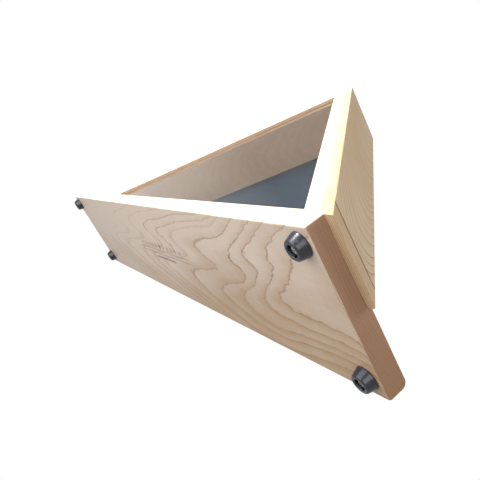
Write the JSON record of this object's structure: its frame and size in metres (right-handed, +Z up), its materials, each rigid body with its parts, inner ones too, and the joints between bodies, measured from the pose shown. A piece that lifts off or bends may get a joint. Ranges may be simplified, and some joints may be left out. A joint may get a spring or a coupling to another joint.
{
  "type": "triangular display case",
  "caption": "Triangular wooden display case with a recessed glass front and felt-faced removable back, standing on a long base board with rubber feet.",
  "frame": {"origin": "bottom centre of the whole object's box, on the surface that the rubber feet stand on", "axes": "+Z up towards the apex; -Y towards the glass front; +X along the base towards the end that the case reaches"},
  "size_m": [0.656, 0.127, 0.2552],
  "materials": {
    "maple": "clear satin lacquer over pale hard maple",
    "wedge_maple": "clear satin lacquer over lighter maple with its grain along the strip",
    "hidden_beech": "unfinished hardwood dowel and key",
    "turned_maple": "turned maple, satin lacquer",
    "panel_board": "smooth brown hardboard",
    "slate_felt": "short-pile slate grey felt",
    "glass": "clear polished float glass",
    "rubber": "moulded black rubber, slight sheen",
    "steel": "zinc plated",
    "brass": "satin brass"
  },
  "bodies": {
    "case": {"apex_spline": "hidden_beech", "base_board": "maple", "foot_back_left": "rubber", "foot_back_right": "rubber", "foot_front_left": "rubber", "foot_front_right": "rubber", "foot_screw_back_left": "steel", "foot_screw_back_right": "steel", "foot_screw_front_left": "steel", "foot_screw_front_right": "steel", "foot_washer_back_left": "steel", "foot_washer_back_right": "steel", "foot_washer_front_left": "steel", "foot_washer_front_right": "steel", "glass_pane": "glass", "left_corner_dowels": "hidden_beech", "left_corner_wedge": "wedge_maple", "left_side_board": "maple", "panel_stop_strip": "maple", "right_corner_dowels": "hidden_beech", "right_corner_wedge": "wedge_maple", "right_side_board": "maple", "turn_screw_lower_left": "brass", "turn_screw_lower_right": "brass", "turn_screw_upper_left": "brass", "turn_screw_upper_right": "brass", "turn_washer_lower_left": "brass", "turn_washer_lower_right": "brass", "turn_washer_upper_left": "brass", "turn_washer_upper_right": "brass"},
    "back_panel_assembly": {"back_panel": "panel_board", "felt_lining": "slate_felt", "knob_screw": "steel", "pull_knob": "turned_maple"},
    "turn_button_lower_left_body": {"turn_button_lower_left": "brass"},
    "turn_button_lower_right_body": {"turn_button_lower_right": "brass"},
    "turn_button_upper_left_body": {"turn_button_upper_left": "brass"},
    "turn_button_upper_right_body": {"turn_button_upper_right": "brass"}
  },
  "joints": [
    {"name": "back_panel_slide", "type": "slide", "parent": "case", "child": "back_panel_assembly", "axis": [0, 1, 0], "range_m": [0, 0.06]},
    {"name": "turn_button_lower_left_turn", "type": "hinge", "parent": "case", "child": "turn_button_lower_left_body", "pos_m": [-0.07402, 0.0025, 0.08248], "axis": [0, 1, 0], "range_deg": [0, 90]},
    {"name": "turn_button_lower_right_turn", "type": "hinge", "parent": "case", "child": "turn_button_lower_right_body", "pos_m": [0.25695, 0.0025, 0.08248], "axis": [0, -1, 0], "range_deg": [0, 90]},
    {"name": "turn_button_upper_left_turn", "type": "hinge", "parent": "case", "child": "turn_button_upper_left_body", "pos_m": [0.02851, 0.0025, 0.18501], "axis": [0, 1, 0], "range_deg": [0, 90]},
    {"name": "turn_button_upper_right_turn", "type": "hinge", "parent": "case", "child": "turn_button_upper_right_body", "pos_m": [0.15442, 0.0025, 0.18501], "axis": [0, -1, 0], "range_deg": [0, 90]}
  ]
}
